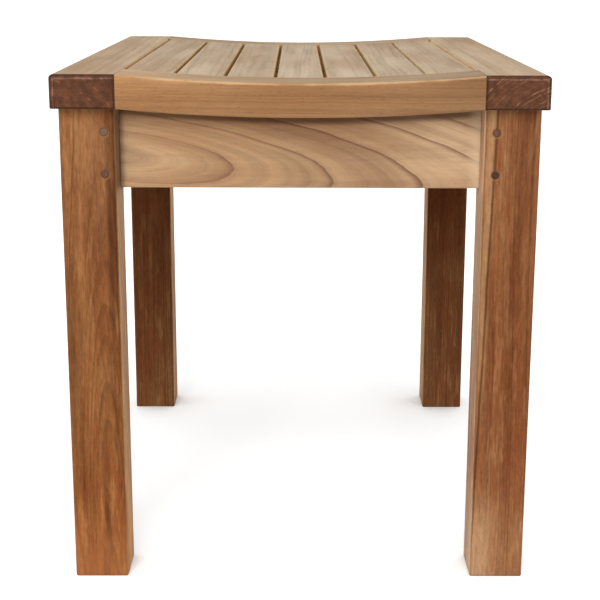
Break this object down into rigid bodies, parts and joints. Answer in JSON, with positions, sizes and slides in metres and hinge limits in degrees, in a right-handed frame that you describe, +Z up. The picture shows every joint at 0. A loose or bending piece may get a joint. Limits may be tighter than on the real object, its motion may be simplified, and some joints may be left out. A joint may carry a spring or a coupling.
{
  "type": "teak shower bench",
  "caption": "Free-standing teak bench with a dished, slatted seat on square legs, joined by pegged mortise-and-tenon aprons set back from the legs.",
  "frame": {"origin": "on the floor, under the middle of the seat", "axes": "+Z up, Y along the slats with -Y towards the end that the picture shows, X across the dish with +X to the right as seen from that end"},
  "size_m": [0.42, 0.56, 0.457],
  "materials": {
    "teak_leg": "oiled, satin, straight grain",
    "teak_apron": "oiled, satin, flame grain",
    "teak_peg": "oiled, end grain outwards",
    "teak_stile": "oiled, satin, dark end grain",
    "teak_rail": "oiled, satin",
    "teak_slat": "oiled, lightly greyed, satin",
    "teak_block": "planed, unfinished",
    "stainless": "brushed, pan heads with a cross recess"
  },
  "bodies": {
    "root": {"leg_front_left": "teak_leg", "leg_front_right": "teak_leg", "leg_rear_left": "teak_leg", "leg_rear_right": "teak_leg", "apron_front": "teak_apron", "apron_rear": "teak_apron", "apron_left": "teak_apron", "apron_right": "teak_apron", "pegs_front": "teak_peg", "pegs_rear": "teak_peg", "pegs_left": "teak_peg", "pegs_right": "teak_peg", "seat_stile_left": "teak_stile", "seat_stile_right": "teak_stile", "seat_rail_front": "teak_rail", "seat_rail_rear": "teak_rail", "seat_rail_centre": "teak_rail", "seat_slat_1": "teak_slat", "seat_slat_2": "teak_slat", "seat_slat_3": "teak_slat", "seat_slat_4": "teak_slat", "seat_slat_5": "teak_slat", "seat_slat_6": "teak_slat", "seat_slat_7": "teak_slat", "corner_block_front_left": "teak_block", "corner_block_front_right": "teak_block", "corner_block_rear_left": "teak_block", "corner_block_rear_right": "teak_block", "block_screws": "stainless", "pocket_screws": "stainless", "slat_screws": "stainless"}
  },
  "joints": []
}
